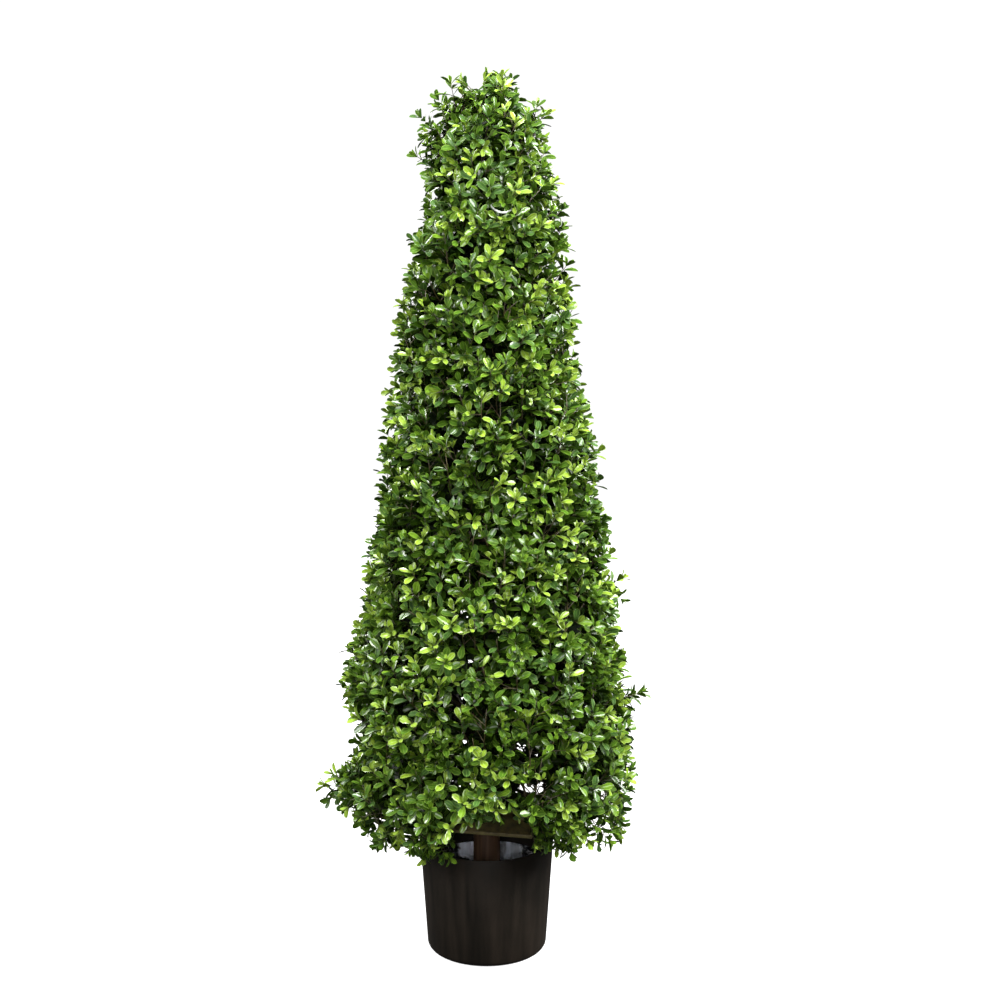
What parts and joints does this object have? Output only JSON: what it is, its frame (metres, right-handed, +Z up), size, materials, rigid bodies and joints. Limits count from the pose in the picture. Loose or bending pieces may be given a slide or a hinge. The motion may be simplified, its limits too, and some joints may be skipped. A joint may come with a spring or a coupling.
{
  "type": "artificial boxwood cone topiary in a pot",
  "caption": "Tall clipped cone of artificial boxwood on a straight post, standing in a plain tapered black pot.",
  "frame": {"origin": "centre of the pot's flat underside, on the post's axis", "axes": "+Z up along the post, -Y to the front, where the hem is raised and the tie shows, +X to the right seen from there"},
  "size_m": [0.4463, 0.4495, 1.2157],
  "materials": {
    "pot_black": "satin",
    "ballast_film": "gloss",
    "post_brown": "satin",
    "board_brown": "matte",
    "tie_white": "satin",
    "boxwood_green": "satin"
  },
  "bodies": {
    "root": {"pot": "pot_black", "pot_fill": "ballast_film", "trunk_post": "post_brown", "base_board": "board_brown", "cable_tie": "tie_white", "foliage_skirt": "boxwood_green", "foliage_lower": "boxwood_green", "foliage_middle": "boxwood_green", "foliage_upper": "boxwood_green", "foliage_top": "boxwood_green"}
  },
  "joints": []
}
